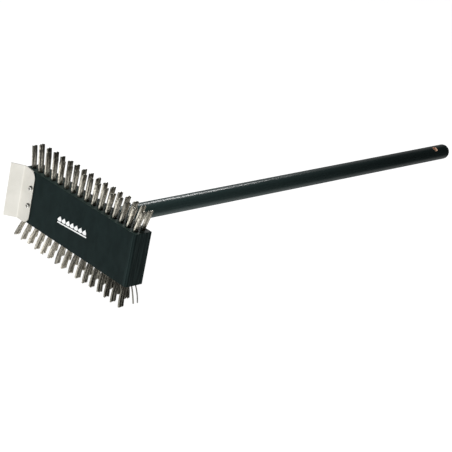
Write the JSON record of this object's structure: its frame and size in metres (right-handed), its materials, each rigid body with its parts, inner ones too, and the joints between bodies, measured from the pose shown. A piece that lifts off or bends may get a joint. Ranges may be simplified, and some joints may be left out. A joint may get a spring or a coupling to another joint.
{
  "type": "grill cleaning brush",
  "caption": "T-shaped grill cleaning brush: black wooden head with flat-wire tufts on both narrow faces, a bent steel scraper plate at one end and a long dowel handle with a hang hole.",
  "frame": {"origin": "on the handle's axis, where the handle meets the back face of the head block", "axes": "+Y along the handle to its free end, +Z towards the upper tufts, the scraper is at -X"},
  "size_m": [0.234, 0.7796, 0.1327],
  "materials": {
    "head_lacquer": "satin black lacquer over hardwood",
    "handle_lacquer": "semi-gloss black lacquer over a hardwood dowel",
    "scraper_steel": "satin rolled sheet",
    "screw_steel": "bright plated",
    "tuft_steel": "oil-tempered flat wire, satin",
    "printed_mark": "screen-printed white ink",
    "anchor_steel": "plain drawn wire"
  },
  "bodies": {
    "root": {"head_block": "head_lacquer", "handle": "handle_lacquer", "scraper_blade": "scraper_steel", "scraper_screw_upper": "screw_steel", "scraper_screw_lower": "screw_steel", "upper_tuft_anchors": "anchor_steel", "upper_tufts_01": "tuft_steel", "upper_tufts_02": "tuft_steel", "upper_tufts_03": "tuft_steel", "upper_tufts_04": "tuft_steel", "upper_tufts_05": "tuft_steel", "upper_tufts_06": "tuft_steel", "upper_tufts_07": "tuft_steel", "upper_tufts_08": "tuft_steel", "upper_tufts_09": "tuft_steel", "upper_tufts_10": "tuft_steel", "upper_tufts_11": "tuft_steel", "upper_tufts_12": "tuft_steel", "upper_tufts_13": "tuft_steel", "upper_tufts_14": "tuft_steel", "upper_tufts_15": "tuft_steel", "upper_tufts_16": "tuft_steel", "lower_tuft_anchors": "anchor_steel", "lower_tufts_01": "tuft_steel", "lower_tufts_02": "tuft_steel", "lower_tufts_03": "tuft_steel", "lower_tufts_04": "tuft_steel", "lower_tufts_05": "tuft_steel", "lower_tufts_06": "tuft_steel", "lower_tufts_07": "tuft_steel", "lower_tufts_08": "tuft_steel", "lower_tufts_09": "tuft_steel", "lower_tufts_10": "tuft_steel", "lower_tufts_11": "tuft_steel", "lower_tufts_12": "tuft_steel", "lower_tufts_13": "tuft_steel", "lower_tufts_14": "tuft_steel", "lower_tufts_15": "tuft_steel", "lower_tufts_16": "tuft_steel"}
  },
  "joints": []
}
